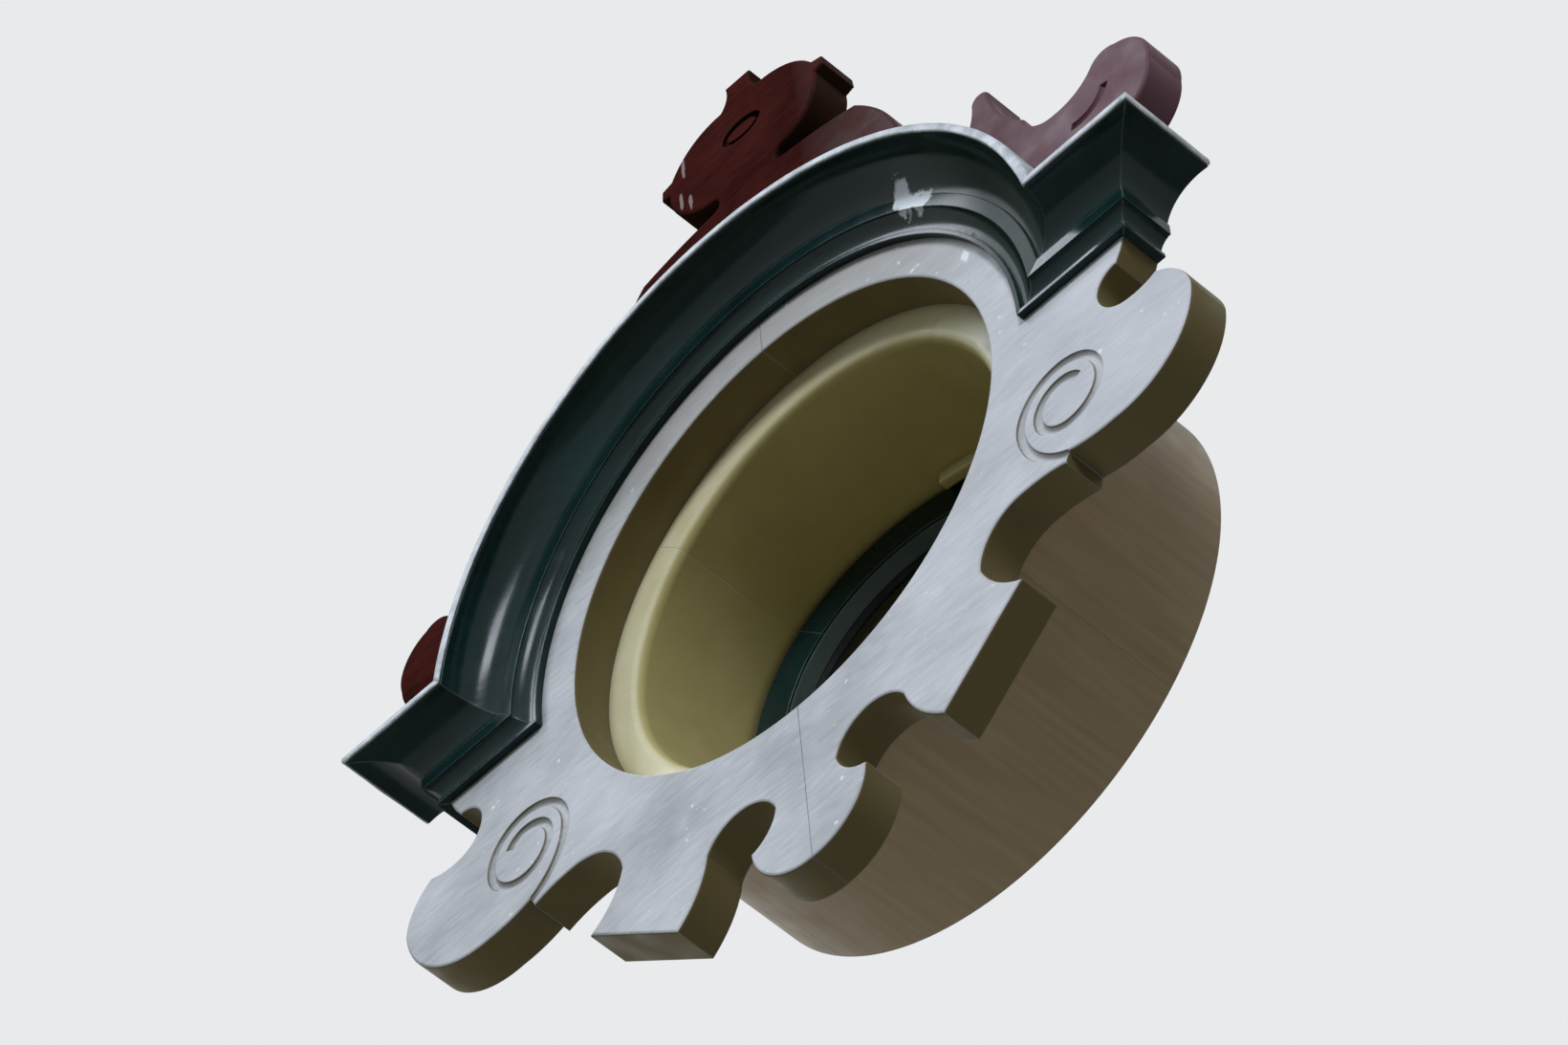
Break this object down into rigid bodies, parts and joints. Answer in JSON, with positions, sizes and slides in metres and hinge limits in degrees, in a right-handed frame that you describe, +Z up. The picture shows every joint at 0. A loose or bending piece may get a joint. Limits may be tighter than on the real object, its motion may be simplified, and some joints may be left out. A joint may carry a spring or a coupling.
{
  "type": "oculus window",
  "caption": "Round timber window that pivots on an upright axis, in a tube frame, with a fretted board round it, an arched leaded hood and sawn crest pieces.",
  "frame": {"origin": "centre of the round hole, in the outer face of the wall", "axes": "+X to the right along the wall as seen from outside, +Y through the wall to the inside, +Z up"},
  "size_m": [0.861, 0.3264, 1.0129],
  "materials": {
    "grey_paint": "brushed light bluish grey oil paint",
    "green_paint": "very dark green gloss paint",
    "maroon_paint": "dark maroon gloss paint",
    "cream_paint": "cream paint",
    "bare_wood": "bare turned timber",
    "lead": "dull weathered lead sheet",
    "brass": "turned brass",
    "glass": "clear float glass",
    "putty": "painted linseed putty"
  },
  "bodies": {
    "frame": {"frame_jamb_right": "cream_paint", "frame_head": "cream_paint", "frame_jamb_left": "cream_paint", "frame_sill": "cream_paint", "frame_dowels": "bare_wood", "pivot_socket_top": "brass", "pivot_socket_bottom": "brass", "stop_bead_outer": "cream_paint", "stop_bead_inner": "cream_paint", "surround_left": "grey_paint", "surround_right": "grey_paint", "hood_arch": "green_paint", "hood_return_left": "green_paint", "hood_return_right": "green_paint", "hood_end_left": "green_paint", "hood_end_right": "green_paint", "lead_arch": "lead", "lead_left": "lead", "lead_right": "lead", "crest_palmette": "maroon_paint", "crest_left": "maroon_paint", "crest_right": "maroon_paint"},
    "sash": {"sash_stile_right": "green_paint", "sash_head": "green_paint", "sash_stile_left": "green_paint", "sash_sill": "green_paint", "sash_dowels": "bare_wood", "pivot_pin_top": "brass", "pivot_pin_bottom": "brass", "glass_pane": "glass", "glazing_putty": "putty", "pull_knob": "brass"}
  },
  "joints": [
    {"name": "sash_pivot", "type": "hinge", "parent": "frame", "child": "sash", "pos_m": [0, 0.1605, 0], "axis": [0, 0, 1], "range_deg": [-7.1, 75]}
  ]
}
